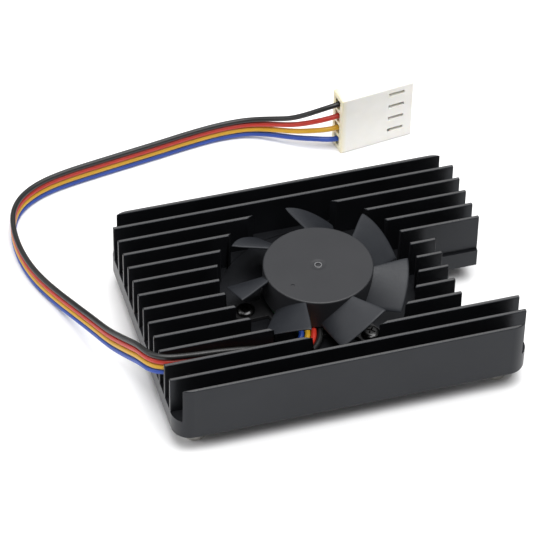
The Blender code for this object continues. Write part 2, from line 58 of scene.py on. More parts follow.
# Fan
EAR_ANGLES, EAR_R, EAR_HALF, EAR_ROOT = (-177.5, -62.5, 60.0), 11.7, 1.9, 5.0
PLATE_R, PLATE_Z, PLATE_EDGE_R = 8.8, (6.5, 7.1), 0.08
TUBE_R, TUBE_BORE_R, TUBE_TOP = 2.0, 1.3, 11.8
SCREW_R, SCREW_CORE_R, SCREW_PITCH, SCREW_TIP = 0.8, 0.66, 0.35, 4.5
SCREW_HEAD_R, SCREW_SLOT, SCREW_SEAT = 1.45, (0.8, 0.15), PLATE_Z[1] + 0.05
BLOCK_HOLE_R, EAR_HOLE_R = 0.9, 1.0
HUB_R, HUB_TOP, HUB_RIM, HUB_BORE_R, HUB_ROOF = 8.55, 13.65, 8.5, 7.95, 0.7
HUB_BOSS_R, SHAFT_HOLE_R = 1.3, 0.53
MARK_OFFSET, MARK_R = (-5.1, -3.45), 0.33
BLADE_COUNT, BLADE_TIP_R, BLADE_T, BLADE_THINNING, BLADE_EDGE = 7, 14.0, 0.5, 0.35, 0.05
BLADE_PHASE, BLADE_SWEEP, BLADE_BOW, BLADE_SPAN = 94.7, 8.7, 1.6, (36.0, 32.0)
BLADE_TOP, BLADE_DROP, BLADE_CAMBER = (13.3, 13.35), (4.2, 4.3), 1.5
BOARD_TOP, SOLDER_Y, TRACK_CELL = 7.72, -6.65, 2.0

# Lead and connector. The colours run from the lowest wire to the highest, where the ribbon stands on edge.
WIRE_D = 0.88
WIRE_COLOURS = {
    "blue": ((0.014, 0.055, 0.32), (0.020, 0.070, 0.38)),
    "yellow": ((0.54, 0.30, 0.010), (0.60, 0.34, 0.014)),
    "red": ((0.43, 0.020, 0.010), (0.49, 0.028, 0.014)),
    "black": ((0.006, 0.006, 0.006), (0.010, 0.010, 0.010)),
}
STRAND_COUNT, STRAND_R, STRAND_LAY_R, STRAND_END_Y = 5, 0.08, 0.11, -6.6
HOUSING, HOUSING_CORNER, HOUSING_TURN = (13.05, 3.7, 11.3), (16.34, 38.61), 7.83
CONTACT_PITCH, CAVITY_HALF = 2.54, (0.85, 0.95)
WINDOW_X, WINDOW_HALF, WINDOW_RISE = (8.7, 11.4), 0.31, 0.5

# Middle line of the ribbon: x, y, z, its roll in degrees, and the distance between wires
LEAD_ROUTE = (
    (-3.2, -7.6, 7.85, 0, 1.0),
    (-3.25, -8.4, 7.80, 0, 1.0),
    (-3.8, -9.6, 7.65, 0, 1.0),
    (-4.9, -10.5, 7.52, 4, 1.0),
    (-6.5, -11.25, 7.55, 12, 1.0),
    (-8.0, -11.75, 8.10, 40, 1.0),
    (-9.3, -12.25, 8.85, 80, 1.0),
    (-10.3, -12.43, 9.15, 90, 0.96),
    (-14.5, -12.43, 10.00, 90, 0.95),
    (-18.5, -12.43, 10.60, 90, 0.95),
    (-23.0, -12.43, 11.00, 90, 0.95),
    (-26.2, -12.43, 11.35, 90, 0.97),
    (-28.0, -12.1, 11.40, 90, 1.0),
    (-29.1, -11.2, 11.20, 90, 1.05),
    (-29.8, -9.7, 10.80, 90, 1.06),
    (-30.3, -7.6, 10.00, 90, 1.06),
    (-31.4, -4.0, 8.15, 90, 1.04),
    (-32.8, 0.7, 5.95, 90, 1.0),
    (-34.3, 6.0, 4.25, 90, 0.97),
    (-36.05, 10.9, 3.10, 90, 0.95),
    (-37.95, 15.9, 2.15, 90, 0.95),
    (-39.8, 20.7, 1.92, 90, 0.95),
    (-40.9, 25.6, 1.92, 90, 0.95),
    (-41.1, 30.6, 1.92, 90, 0.95),
    (-40.3, 35.2, 1.92, 90, 0.95),
    (-38.2, 38.6, 1.92, 90, 0.95),
    (-34.6, 41.1, 1.92, 90, 0.95),
    (-29.6, 42.7, 1.92, 90, 0.95),
    (-21.6, 44.2, 1.92, 90, 0.95),
    (-14.1, 45.5, 1.92, 90, 0.95),
    (-7.5, 46.7, 1.92, 90, 0.95),
    (-2.3, 47.3, 1.98, 90, 0.95),
    (2.3, 46.9, 2.30, 90, 0.98),
    (6.0, 45.2, 2.90, 90, 1.12),
    (9.4, 42.9, 3.75, 90, 1.38),
    (12.4, 41.15, 4.90, 90, 1.85),
    (14.75, 40.38, 5.55, 90, 2.38),
    (17.06, 40.6, 5.65, 90, 2.54),
)

# Camera and studio, metres and degrees
CAMERA_PLACE, CAMERA_TURN = (-0.102324, -0.305763, 0.318743), (46.530037, -0.889121, -16.281686)
CAMERA_LENS, CAMERA_SENSOR = 195.152, 36.0
FLOOR_HALF, FLOOR_Z = 3.0, -0.00002
WORLD_STRENGTH = 0.20
LAMPS = (
    ("overhead", (0.08, -0.13, 0.90), 0.8, 13.0),
    ("back_card", (0.28, 0.90, 0.85), 1.1, 2.2),
    ("left_soft", (-0.60, 0.10, 0.45), 0.5, 2.0),
)


# ---------------------------------------------------------------- materials

def shader_of(name):
    mat = bpy.data.materials.new(name)
    mat.use_nodes = True
    return mat, mat.node_tree, mat.node_tree.nodes["Principled BSDF"]


def coordinates(tree, stretch):
    """Object coordinates multiplied by stretch, which is per metre."""
    space = tree.nodes.new("ShaderNodeTexCoord")
    mapping = tree.nodes.new("ShaderNodeMapping")
    mapping.inputs["Scale"].default_value = stretch
    tree.links.new(space.outputs["Object"], mapping.inputs["Vector"])
    return mapping.outputs["Vector"]


def noise(tree, size_mm, detail=2.0, stretch=(1, 1, 1)):
    """Noise whose features are about size_mm across."""
    texture = tree.nodes.new("ShaderNodeTexNoise")
    texture.inputs["Scale"].default_value = 1.0
    texture.inputs["Detail"].default_value = detail
    scale = 1 / (size_mm * MM)
    tree.links.new(coordinates(tree, [scale * s for s in stretch]), texture.inputs["Vector"])
    return texture.outputs["Fac"]


def spread(tree, value, low, high, source=(0.3, 0.7)):
    """The value's source range mapped to low and high."""
    rng = tree.nodes.new("ShaderNodeMapRange")
    rng.inputs["From Min"].default_value, rng.inputs["From Max"].default_value = source
    rng.inputs["To Min"].default_value, rng.inputs["To Max"].default_value = low, high
    tree.links.new(value, rng.inputs["Value"])
    return rng.outputs["Result"]


def blend_colours(tree, value, first, second, source=(0.3, 0.7)):
    """From the first colour to the second over the value's source range."""
    ramp = tree.nodes.new("ShaderNodeValToRGB")
    for stop, position, colour in zip(ramp.color_ramp.elements, source, (first, second)):
        stop.position = position
        stop.color = (*colour, 1)
    tree.links.new(value, ramp.inputs["Fac"])
    return ramp.outputs["Color"]


def add_bump(tree, shader, layers):
    """Layers of (height, strength, depth in millimetres)."""
    normal = None
    for height, strength, depth in layers:
        bump = tree.nodes.new("ShaderNodeBump")
        bump.inputs["Strength"].default_value = strength
        bump.inputs["Distance"].default_value = depth * MM
        tree.links.new(height, bump.inputs["Height"])
        if normal:
            tree.links.new(normal, bump.inputs["Normal"])
        normal = bump.outputs["Normal"]
    tree.links.new(normal, shader.inputs["Normal"])


def finish_of(
        name, colours, rough, metallic=0.0, patch=4.0, grain=0.2, depth=0.004, stretch=(1, 1, 1), ior=1.5):
    """A surface whose colour varies over patch millimetres, and whose gloss and relief vary over grain."""
    mat, tree, shader = shader_of(name)
    shader.inputs["Metallic"].default_value = metallic
    shader.inputs["IOR"].default_value = ior
    uneven = noise(tree, patch, 3.0)
    fine = noise(tree, grain, 2.0, stretch)
    tree.links.new(blend_colours(tree, uneven, *colours), shader.inputs["Base Color"])
    tree.links.new(spread(tree, fine, *rough), shader.inputs["Roughness"])
    add_bump(tree, shader, [(fine, 1.0, depth)])
    return mat


def heatsink_finishes():
    anodised = finish_of(
        "black_anodised", ((0.0045, 0.0047, 0.0055), (0.007, 0.0073, 0.0085)), (0.30, 0.40),
        patch=6.0, grain=0.09, depth=0.0016, stretch=(0.25, 1, 1), ior=1.38)
    tint = anodised.node_tree.nodes["Principled BSDF"].inputs["Specular Tint"]
    tint.default_value = (0.80, 0.84, 0.92, 1)
    return {
        "anodised": anodised,
        # The fin tops are the same black anodising, painted lighter and more reflective: painted sheen where
        # they catch the light.
        "fin_tops": finish_of(
            "fin_top_painted_sheen", ((0.010, 0.010, 0.011), (0.016, 0.016, 0.017)), (0.26, 0.36),
            patch=3.0, grain=0.09, depth=0.0016, stretch=(1, 0.2, 1), ior=2.1),
        "nickel": finish_of(
            "nickel_plate", ((0.62, 0.60, 0.57), (0.70, 0.68, 0.64)), (0.22, 0.32), 1.0,
            patch=2.0, grain=0.05, depth=0.0015, stretch=(0.2, 0.2, 1)),
        "pad": finish_of(
            "silicone_pad", ((0.30, 0.40, 0.50), (0.38, 0.48, 0.58)), (0.65, 0.8),
            patch=1.5, grain=0.12, depth=0.01),
    }


def fan_finishes():
    return {
        "hub": finish_of(
            "hub_plastic", ((0.0145, 0.0152, 0.018), (0.0175, 0.0182, 0.021)), (0.46, 0.56),
            patch=5.0, grain=0.11, depth=0.003),
        "blade": finish_of(
            "blade_plastic", ((0.0150, 0.0165, 0.0205), (0.0190, 0.0210, 0.025)), (0.46, 0.54),
            patch=3.0, grain=0.25, depth=0.001, ior=1.38),
        # The gate ring's pale colour is a painted highlight for its glint.
        "gate_ring": finish_of(
            "gate_ring_painted_glint", ((0.10, 0.10, 0.105), (0.14, 0.14, 0.145)), (0.3, 0.4), patch=0.4),
        "plate": finish_of(
            "plate_plastic", ((0.010, 0.010, 0.011), (0.014, 0.014, 0.015)), (0.38, 0.48),
            grain=0.15, depth=0.002),
        "black_steel": finish_of(
            "black_screw", ((0.045, 0.045, 0.045), (0.07, 0.07, 0.07)), (0.24, 0.32), 1.0,
            grain=0.1, depth=0.0015),
    }


def motor_finishes():
    return {
        "steel": finish_of(
            "bright_steel", ((0.48, 0.48, 0.49), (0.56, 0.56, 0.57)), (0.25, 0.38), 1.0,
            grain=0.08, depth=0.002),
        "laminated": finish_of(
            "laminated_steel", ((0.30, 0.30, 0.32), (0.42, 0.42, 0.44)), (0.35, 0.5), 1.0,
            grain=0.12, depth=0.01, stretch=(0.02, 0.02, 1)),
        "magnet": finish_of(
            "ferrite", ((0.06, 0.055, 0.05), (0.09, 0.08, 0.075)), (0.55, 0.7), patch=0.6, grain=0.06),
        "bronze": finish_of(
            "sintered_bronze", ((0.42, 0.28, 0.14), (0.55, 0.38, 0.20)), (0.38, 0.55), 1.0,
            patch=0.4, grain=0.05, depth=0.005),
        "felt": finish_of(
            "oiled_felt", ((0.16, 0.14, 0.11), (0.26, 0.24, 0.20)), (0.7, 0.9),
            patch=0.3, grain=0.05, depth=0.02),
        "polymer": finish_of(
            "thrust_polymer", ((0.74, 0.73, 0.68), (0.82, 0.81, 0.76)), (0.35, 0.45)),
        "insulator": finish_of(
            "insulator_nylon", ((0.66, 0.62, 0.50), (0.76, 0.72, 0.60)), (0.4, 0.5), patch=2.0),
        "copper": winding_material(),
    }


def board_finishes():
    return {
        "board": board_material(),
        "chip": finish_of(
            "epoxy_package", ((0.012, 0.012, 0.013), (0.02, 0.02, 0.021)), (0.45, 0.6), grain=0.05),
        "ceramic": finish_of(
            "capacitor_body", ((0.36, 0.25, 0.15), (0.45, 0.33, 0.21)), (0.35, 0.5), patch=0.3),
        "solder": finish_of(
            "solder", ((0.62, 0.62, 0.60), (0.76, 0.76, 0.74)), (0.16, 0.34), 1.0,
            patch=0.3, depth=0.01),
    }


def lead_finishes():
    finishes = {
        "tin": finish_of(
            "tin_plate", ((0.66, 0.65, 0.60), (0.76, 0.75, 0.70)), (0.2, 0.34), 1.0,
            patch=0.8, grain=0.1, depth=0.002),
        "nylon": nylon_material(),
    }
    for colour, pair in WIRE_COLOURS.items():
        finishes["wire_" + colour] = finish_of(
            f"wire_{colour}_pvc", pair, (0.36, 0.46), patch=5.0, grain=0.5, depth=0.002)
    return finishes


def make_materials():
    finishes = {}
    for group in (heatsink_finishes, fan_finishes, motor_finishes, board_finishes, lead_finishes):
        finishes.update(group())
    return finishes


def winding_material():
    """Enamelled copper wire, with a fine uneven relief."""
    mat, tree, shader = shader_of("enamelled_copper")
    shader.inputs["Metallic"].default_value = 1.0
    shader.inputs["Roughness"].default_value = 0.3
    shader.inputs["Coat Weight"].default_value = 0.6
    uneven = noise(tree, 0.3, 2.0)
    colours = blend_colours(tree, uneven, (0.60, 0.22, 0.09), (0.78, 0.34, 0.15))
    tree.links.new(colours, shader.inputs["Base Color"])
    add_bump(tree, shader, [(noise(tree, 0.12, 1.0), 1.0, 0.02)])
    return mat


def board_material():
    """Green solder mask over faint copper tracks."""
    mat, tree, shader = shader_of("solder_mask")
    cells = tree.nodes.new("ShaderNodeTexVoronoi")
    cells.feature = "DISTANCE_TO_EDGE"
    cells.inputs["Scale"].default_value = 1.0
    per_metre = 1 / (TRACK_CELL * MM)
    tree.links.new(coordinates(tree, (per_metre, per_metre, per_metre / 10)), cells.inputs["Vector"])
    tracks = spread(tree, cells.outputs["Distance"], 1.0, 0.0, (0.04, 0.10))
    colours = blend_colours(tree, tracks, (0.008, 0.06, 0.022), (0.02, 0.13, 0.045), (0.2, 0.8))
    tree.links.new(colours, shader.inputs["Base Color"])
    tree.links.new(spread(tree, noise(tree, 0.5), 0.25, 0.38), shader.inputs["Roughness"])
    add_bump(tree, shader, [(tracks, 1.0, 0.03)])
    return mat


def nylon_material():
    """Natural nylon, with a warm tint painted round the wire entries for light glowing through the thin
    walls there.
    """
    mat, tree, shader = shader_of("natural_nylon")
    shader.inputs["IOR"].default_value = 1.53
    shader.inputs["Subsurface Weight"].default_value = 0.25
    shader.inputs["Subsurface Radius"].default_value = (1.0, 0.75, 0.4)
    shader.inputs["Subsurface Scale"].default_value = 0.0006
    space = tree.nodes.new("ShaderNodeTexCoord")
    parts = tree.nodes.new("ShaderNodeSeparateXYZ")
    tree.links.new(space.outputs["Object"], parts.inputs["Vector"])
    entry = HOUSING_CORNER[0]
    # Painted glow: the base colour turns warm near the entries, standing in for light through the thin
    # walls.
    warm = spread(tree, parts.outputs["X"], 1.0, 0.0, ((entry - 0.6) * MM, (entry + 0.9) * MM))
    plain = blend_colours(tree, noise(tree, 3.0, 3.0), (0.79, 0.775, 0.735), (0.83, 0.815, 0.775))
    mix = tree.nodes.new("ShaderNodeMix")
    mix.data_type = "RGBA"
    tree.links.new(warm, mix.inputs["Factor"])
    tree.links.new(plain, mix.inputs["A"])
    mix.inputs["B"].default_value = (0.74, 0.66, 0.38, 1)
    tree.links.new(mix.outputs["Result"], shader.inputs["Base Color"])
    fine = noise(tree, 0.3)
    tree.links.new(spread(tree, fine, 0.34, 0.44), shader.inputs["Roughness"])
    add_bump(tree, shader, [(fine, 1.0, 0.004)])
    return mat


# ---------------------------------------------------------------- mesh helpers

def new_piece(name, bm, mat, angle=42.0):
    """A piece from a bmesh in millimetres."""
    bmesh.ops.recalc_face_normals(bm, faces=bm.faces)
    bmesh.ops.scale(bm, vec=(MM, MM, MM), verts=bm.verts)
    mesh = bpy.data.meshes.new(name)
    bm.to_mesh(mesh)
    bm.free()
    mesh.shade_smooth()
    mesh.set_sharp_from_angle(angle=math.radians(angle))
    obj = bpy.data.objects.new(name, mesh)
    bpy.context.scene.collection.objects.link(obj)
    if mat:
        mesh.materials.append(mat)
    return obj


def level_normals(obj):
    """Keeps wide faces flat beside their rounded edges."""
    modifier = obj.modifiers.new("level", "WEIGHTED_NORMAL")
    modifier.keep_sharp = True
    modifier.weight = 100


def boolean(obj, others):
    """Applies (other, operation) pairs to obj and removes the others."""
    for other, operation in others:
        modifier = obj.modifiers.new("cut", "BOOLEAN")
        modifier.solver = "EXACT"
        modifier.operation = operation
        modifier.object = other
    bake(obj)
    for other, _ in others:
        bpy.data.objects.remove(other)


def bake(obj):
    """Applies all of the object's modifiers."""
    graph = bpy.context.evaluated_depsgraph_get()
    graph.update()
    mesh = bpy.data.meshes.new_from_object(obj.evaluated_get(graph))
    obj.modifiers.clear()
    obj.data = mesh


def edge_bevel(obj, width, segments, angle):
    modifier = obj.modifiers.new("edges", "BEVEL")
    modifier.width = width * MM
    modifier.segments = segments
    modifier.limit_method = "ANGLE"
    modifier.angle_limit = math.radians(angle)
    modifier.use_clamp_overlap = True


def smooth_again(obj, angle):
    obj.data.shade_smooth()
    obj.data.set_sharp_from_angle(angle=math.radians(angle))


def circle(radius, steps, x=0.0, y=0.0):
    turns = [2 * math.pi * i / steps for i in range(steps)]
    return [(x + radius * math.cos(a), y + radius * math.sin(a)) for a in turns]


def filleted(points, radius, steps):
    """Rounds the corners of a closed outline."""
    result = []
    count = len(points)
    for i, point in enumerate(points):
        here = Vector(point)
        before = here - Vector(points[i - 1])
        after = Vector(points[(i + 1) % count]) - here
        turn = before.angle(after)
        cut = min(radius * math.tan(turn / 2), 0.48 * before.length, 0.48 * after.length)
        start = here - before.normalized() * cut
        end = here + after.normalized() * cut
        for k in range(steps + 1):
            t = k / steps
            result.append(tuple(start * (1 - t) ** 2 + here * (2 * t * (1 - t)) + end * t * t))
    return result


def offset(points, amount):
    """The outline moved inwards. It runs anticlockwise."""
    moved = []
    count = len(points)
    for i, point in enumerate(points):
        here = Vector(point)
        before = (here - Vector(points[i - 1])).normalized()
        after = (Vector(points[(i + 1) % count]) - here).normalized()
        inward = Vector((-before.y - after.y, before.x + after.x))
        spare = max(inward.length_squared / 2, 0.5)
        moved.append(tuple(here + inward / spare * amount))
    return moved


def add_rounded_prism(bm, outline, low, high, low_r=0.0, high_r=0.0, steps=3):
    """The solid over an outline, with its lower and upper edges rounded."""
    levels = []
    if low_r:
        for k in range(steps + 1):
            a = math.pi / 2 * k / steps
            levels.append((low + low_r * (1 - math.cos(a)), low_r * (1 - math.sin(a))))
    else:
        levels.append((low, 0.0))
    if high_r:
        for k in range(steps + 1):
            a = math.pi / 2 * k / steps
            levels.append((high - high_r * (1 - math.sin(a)), high_r * (1 - math.cos(a))))
    else:
        levels.append((high, 0.0))
    rings = []
    for z, inset in levels:
        shape = offset(outline, inset) if inset else outline
        rings.append([bm.verts.new((x, y, z)) for x, y in shape])
    count = len(outline)
    for first, second in zip(rings, rings[1:]):
        for i in range(count):
            j = (i + 1) % count
            bm.faces.new((first[i], first[j], second[j], second[i]))
    bm.faces.new(rings[0][::-1])
    bm.faces.new(rings[-1])


def turned(profile, steps):
    """Spins a profile of (radius, height) points round Z."""
    bm = bmesh.new()
    verts = [bm.verts.new((r, 0, z)) for r, z in profile]
    ends = list(zip(verts, verts[1:]))
    if profile[0][0] > 0 or profile[-1][0] > 0:
        ends.append((verts[-1], verts[0]))
    edges = [bm.edges.new(pair) for pair in ends]
    bmesh.ops.spin(
        bm, geom=verts + edges, cent=(0, 0, 0), axis=(0, 0, 1), angle=2 * math.pi, steps=steps,
        use_merge=True)
    bmesh.ops.remove_doubles(bm, verts=bm.verts, dist=1e-5)
    return bm


def rounded_profile(points, radii, steps=4):
    """A profile with each corner rounded by its own radius."""
    result = [points[0]]
    for before, here, after, radius in zip(points, points[1:], points[2:], radii):
        p, a, b = Vector(here), Vector(before), Vector(after)
        if not radius:
            result.append(here)
            continue
        cut = min(radius, 0.48 * (p - a).length, 0.48 * (b - p).length)
        start = p + (a - p).normalized() * cut
        end = p + (b - p).normalized() * cut
        for k in range(steps + 1):
            t = k / steps
            result.append(tuple(start * (1 - t) ** 2 + p * (2 * t * (1 - t)) + end * t * t))
    result.append(points[-1])
    return result


def place(bm, x, y, z=0.0, turn=0.0):
    """Turns a bmesh round Z by degrees, then moves it."""
    move = Matrix.Translation((x, y, z)) @ Matrix.Rotation(math.radians(turn), 4, "Z")
    bmesh.ops.transform(bm, matrix=move, verts=bm.verts)
    return bm


def add_box(bm, low, high):
    size = [h - l for l, h in zip(low, high)]
    centre = [(h + l) / 2 for l, h in zip(low, high)]
    bmesh.ops.create_cube(bm, size=1.0, matrix=Matrix.Translation(centre) @ Matrix.Diagonal((*size, 1)))


def merge(target, source):
    """Moves one bmesh's contents into another."""
    mesh = bpy.data.meshes.new("merged")
    source.to_mesh(mesh)
    source.free()
    target.from_mesh(mesh)
    bpy.data.meshes.remove(mesh)


def settle(obj, body, slot, *nodes):
    """Hangs a piece on the body it rides on and hides the CAD nodes it replaces. The slot argument is not
    used.
    """
    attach(obj, body)
    if nodes:
        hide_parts(*nodes)
    return obj


# ---------------------------------------------------------------- camera and lead

def make_camera():
    data = bpy.data.cameras.new("camera")
    data.sensor_width = CAMERA_SENSOR
    data.lens = CAMERA_LENS
    data.clip_start = 0.01
    data.clip_end = 20.0
    camera = bpy.data.objects.new("camera", data)
    camera.location = CAMERA_PLACE
    camera.rotation_euler = [math.radians(a) for a in CAMERA_TURN]
    bpy.context.scene.collection.objects.link(camera)
    bpy.context.scene.camera = camera


def spline(rows, samples):
    """A smooth curve through the rows, as (row, direction) pairs at even distances along it."""
    steps = 16
    padded = [rows[0]] + list(rows) + [rows[-1]]
    fine = []
    for before, start, end, after in zip(padded, padded[1:], padded[2:], padded[3:]):
        for step in range(steps):
            t = step / steps
            value = []
            for a, b, c, d in zip(before, start, end, after):
                bend = (2 * a - 5 * b + 4 * c - d) * t * t + (3 * b - a - 3 * c + d) * t**3
                value.append(0.5 * (2 * b + (c - a) * t + bend))
            fine.append(value)
    fine.append(list(rows[-1]))
    reach = [0.0]
    for here, there in zip(fine, fine[1:]):
        reach.append(reach[-1] + math.dist(here[:3], there[:3]))
    found = []
    at = 0
    for index in range(samples):
        want = reach[-1] * index / (samples - 1)
        while at < len(reach) - 2 and reach[at + 1] < want:
            at += 1
        part = (want - reach[at]) / (reach[at + 1] - reach[at])
        value = [a + (b - a) * part for a, b in zip(fine[at], fine[at + 1])]
        ahead = Vector(fine[at + 1][:3]) - Vector(fine[at][:3])
        found.append((value, ahead.normalized()))
    return found


def wire_points(number):
    """The middle line of one wire in millimetres, 0 for blue to 3 for black."""
    samples, smoothing = 260, 8
    points = []
    for (x, y, z, roll, spacing), ahead in spline(LEAD_ROUTE, samples):
        left = Vector((-ahead.y, ahead.x, 0)).normalized()
        lean = math.radians(roll)
        across = left * math.cos(lean) + ahead.cross(left) * math.sin(lean)
        points.append(Vector((x, y, z)) + across * (number - 1.5) * spacing)
    for _ in range(smoothing):
        inner = [(a + b * 2 + c) / 4 for a, b, c in zip(points, points[1:], points[2:])]
        points = [points[0]] + inner + [points[-1]]
    return points


def make_wires(m):
    for number, colour in enumerate(WIRE_COLOURS):
        node = "wire_" + colour
        points = wire_points(number)
        curve = bpy.data.curves.new(node + "_lead", "CURVE")
        curve.dimensions = "3D"
        curve.bevel_depth = WIRE_D / 2 * MM
        curve.bevel_resolution = 5
        curve.use_fill_caps = True
        line = curve.splines.new("POLY")
        line.points.add(len(points) - 1)
        for knot, point in zip(line.points, points):
            knot.co = (*(point * MM), 1)
        line.use_smooth = True
        curve.materials.append(m[node])
        wire = bpy.data.objects.new(node + "_lead", curve)
        bpy.context.scene.collection.objects.link(wire)
        settle(wire, "base", "pvc_" + colour, node)


def make_housing(mat):
    """Four-way plug body with its cavities, contact windows and shallow recesses."""
    length, depth, height = HOUSING
    middle = depth / 2
    half_y, half_z = CAVITY_HALF
    body, cavities, windows, recesses = (bmesh.new() for _ in range(4))
    add_box(body, (0, 0, 0), HOUSING)
    bmesh.ops.bevel(body, geom=body.edges, offset=0.22, segments=3, profile=0.5, affect="EDGES")
    for number in range(4):
        z = height / 2 + (number - 1.5) * CONTACT_PITCH
        add_box(cavities, (-1, middle - half_y, z - half_z), (length + 1, middle + half_y, z + half_z))
        z += WINDOW_RISE
        add_box(windows, (WINDOW_X[0], -1, z - WINDOW_HALF), (WINDOW_X[1], middle, z + WINDOW_HALF))
        add_box(recesses, (8.55, -1, z - 0.45), (9.15, 0.25, z + WINDOW_HALF))
        add_box(recesses, (4.6, depth - 0.3, z - 1.35), (7.0, depth + 1, z + 0.35))
    for bm in (body, cavities, windows, recesses):
        place(bm, *HOUSING_CORNER, 0, HOUSING_TURN)
    housing = new_piece("connector_shell", body, mat)
    boolean(housing, [
        (new_piece("cut_cavities", cavities, None), "DIFFERENCE"),
        (new_piece("cut_windows", windows, None), "DIFFERENCE"),
        (new_piece("cut_recesses", recesses, None), "DIFFERENCE"),
    ])
    smooth_again(housing, 35)
    edge_bevel(housing, 0.06, 2, 60)
    level_normals(housing)
    return settle(housing, "base", "nylon", "connector_housing")


# ---------------------------------------------------------------- heatsink

def fin_y(number):
    """Middle of a fin, counted from the back."""
    return WIDTH / 2 - FIN_T / 2 - (number - 1) * FIN_PITCH


def notch_sides(gap):
    """The antenna notch's front and back edges, a gap away from the fins beside it."""
    first, last = NOTCH_FINS
    return fin_y(last) + FIN_T / 2 + gap, fin_y(first) - FIN_T / 2 - gap


def fin_comb():
    """The extruded section, a little wider and longer than the finished block."""
    spare = 0.5
    edge = WIDTH / 2 + spare
    section = [(edge, BASE_LOW), (edge, FIN_TOP)]
    for number in range(1, FIN_COUNT):
        near = fin_y(number) - FIN_T / 2
        far = fin_y(number + 1) + FIN_T / 2
        section += [(near, FIN_TOP), (near, BASE_TOP), (far, BASE_TOP), (far, FIN_TOP)]
    section += [(-edge, FIN_TOP), (-edge, BASE_LOW)]
    bm = bmesh.new()
    ends = []
    for x in (-LENGTH / 2 - spare, LENGTH / 2 + spare):
        ends.append([bm.verts.new((x, y, z)) for y, z in section])
    for i in range(len(section)):
        j = (i + 1) % len(section)
        bm.faces.new((ends[0][i], ends[0][j], ends[1][j], ends[1][i]))
    bm.faces.new(ends[0])
    bm.faces.new(ends[1])
    return bm


def block_outline():
    """The base's outline from above, anticlockwise, with the antenna notch."""
    half_x, half_y = LENGTH / 2, WIDTH / 2
    outline = []
    for quadrant, (sx, sy) in enumerate(((1, 1), (-1, 1), (-1, -1), (1, -1))):
        for i in range(13):
            angle = math.pi / 2 * (quadrant + i / 12)
            x = sx * (half_x - CORNER_R) + CORNER_R * math.cos(angle)
            outline.append((x, sy * (half_y - CORNER_R) + CORNER_R * math.sin(angle)))
    front, back = notch_sides(NOTCH_LEDGE)
    inner = NOTCH_X + NOTCH_LEDGE
    return outline + [(half_x, front), (inner, front), (inner, back), (half_x, back)]


def make_heatsink(mat, sheen_mat):
    block = new_piece("heatsink_block", fin_comb(), mat)
    outline = bmesh.new()
    add_rounded_prism(outline, block_outline(), BASE_LOW - 1, FIN_TOP + 1)
    pocket = bmesh.new()
    add_rounded_prism(pocket, circle(POCKET_R, 144, *FAN), POCKET_FLOOR, FIN_TOP + 1)
    notch = bmesh.new()
    front, back = notch_sides(0.1)
    add_box(notch, (NOTCH_X, front, POCKET_FLOOR), (LENGTH / 2 + 1, back, FIN_TOP + 1))
    holes = bmesh.new()
    for x, y, _ in STANDOFFS:
        add_rounded_prism(holes, circle(SHANK_R + 0.05, 40, x, y), 1, BASE_TOP + 0.05)
    for x, y in screw_places():
        add_rounded_prism(holes, circle(BLOCK_HOLE_R, 20, x, y), SCREW_TIP - 0.3, BASE_TOP)
    boolean(block, [
        (new_piece("cut_outline", outline, None), "INTERSECT"),
        (new_piece("cut_pocket", pocket, None), "DIFFERENCE"),
        (new_piece("cut_notch", notch, None), "DIFFERENCE"),
        (new_piece("cut_holes", holes, None), "DIFFERENCE"),
    ])
    round_block_edges(block)
    smooth_again(block, 35)
    # The fins' top faces take the painted sheen copy of the anodised finish.
    block.data.materials.append(sheen_mat)
    for face in block.data.polygons:
        if face.normal.z > 0.98 and face.center.z > (FIN_TOP - 0.02) * MM:
            face.material_index = 1
    level_normals(block)
    settle(block, "base", "anodised_aluminium", "heatsink")


def near_standoff(point):
    return min(math.dist(point[:2], standoff[:2]) for standoff in STANDOFFS) < 2


def round_block_edges(block):
    """Rounds the fins' top and end edges and the base's lower rim."""
    bm = bmesh.new()
    bm.from_mesh(block.data)
    bmesh.ops.remove_doubles(bm, verts=bm.verts, dist=2e-7)
    weights = bm.edges.layers.float.new("bevel_weight_edge")
    for edge in bm.edges:
        if len(edge.link_faces) != 2 or edge.calc_face_angle() < math.radians(30):
            continue
        ends = [v.co / MM for v in edge.verts]
        low, high = sorted(end.z for end in ends)
        upright = math.dist(ends[0][:2], ends[1][:2]) < 0.01
        rim = high < BASE_LOW + 0.01 and not any(near_standoff(end) for end in ends)
        if low > FIN_TOP - 0.01 or (upright and high > FIN_TOP - 0.01) or rim:
            edge[weights] = 1.0
    bm.to_mesh(block.data)
    bm.free()
    modifier = block.modifiers.new("edges", "BEVEL")
    modifier.width = FIN_EDGE_R * MM
    modifier.segments = 3
    modifier.limit_method = "WEIGHT"
    modifier.use_clamp_overlap = False
    bake(block)


def make_standoffs(mat):
    thread = []
    z = SHANK_TOP - 0.25
    while z > 0.35:
        thread += [(THREAD_R[1], z), (THREAD_R[0], z - 0.11), (THREAD_R[1], z - 0.22)]
        z -= THREAD_PITCH
    for x, y, name in STANDOFFS:
        flange = BASE_LOW - 0.1
        outer = rounded_profile(
            [(STANDOFF_BORE_R, 0.0), (STANDOFF_R, 0.0), (STANDOFF_R, flange), (SHANK_R, flange),
             (SHANK_R, SHANK_TOP), (STANDOFF_BORE_R, SHANK_TOP)],
            (0.16, 0.16, 0.0, 0.15), 3)
        bm = turned(outer + thread, 48)
        piece = new_piece("standoff_body_" + name, place(bm, x, y), mat, 35)
        settle(piece, "base", "nickel", "standoff_" + name)


def make_thermal_pad(mat):
    bm = bmesh.new()
    x, y = PAD_CORNER
    square = [(x, y), (x + PAD_SIDE, y), (x + PAD_SIDE, y + PAD_SIDE), (x, y + PAD_SIDE)]
    add_rounded_prism(bm, filleted(square, 0.35, 4), *PAD_Z, 0.18, 0.18, 3)
    pad = new_piece("silicone_pad", bm, mat)
    level_normals(pad)
    settle(pad, "base", "thermal_pad", "thermal_pad")


